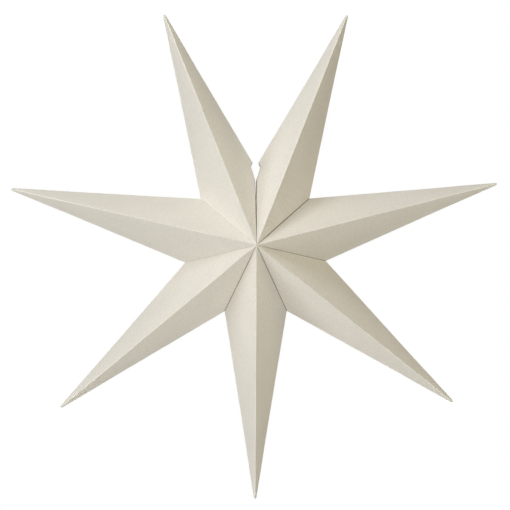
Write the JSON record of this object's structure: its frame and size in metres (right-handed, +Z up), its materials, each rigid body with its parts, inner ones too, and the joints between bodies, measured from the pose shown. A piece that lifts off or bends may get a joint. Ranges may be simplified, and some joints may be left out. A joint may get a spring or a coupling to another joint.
{
  "type": "paper star lampshade",
  "caption": "Hollow star lampshade of folded paper: long pointed arms glued side by side, open at the mouth between two arms, with a round hole there for a cord.",
  "frame": {"origin": "centre of the star, midway between the front peak and the back peak, on the line that joins them", "axes": "+Z up, towards the mouth between the first and the last arm, where the cord comes out; the star lies in the X-Z plane and its front peak points along -Y; +X to the right seen from the front"},
  "size_m": [0.679, 0.2196, 0.6762],
  "materials": {
    "shade_paper": "matt off-white paper with a fine linen weave pressed into it",
    "hook_tape": "fine stiff nylon hooks on a thin tape",
    "loop_tape": "soft short nylon loops on a thin tape"
  },
  "bodies": {
    "root": {"arm_1": "shade_paper", "arm_2": "shade_paper", "arm_3": "shade_paper", "arm_4": "shade_paper", "arm_5": "shade_paper", "arm_6": "shade_paper", "arm_7": "shade_paper", "hook_dot_front": "hook_tape", "loop_dot_front": "loop_tape", "hook_dot_back": "hook_tape", "loop_dot_back": "loop_tape"}
  },
  "joints": []
}
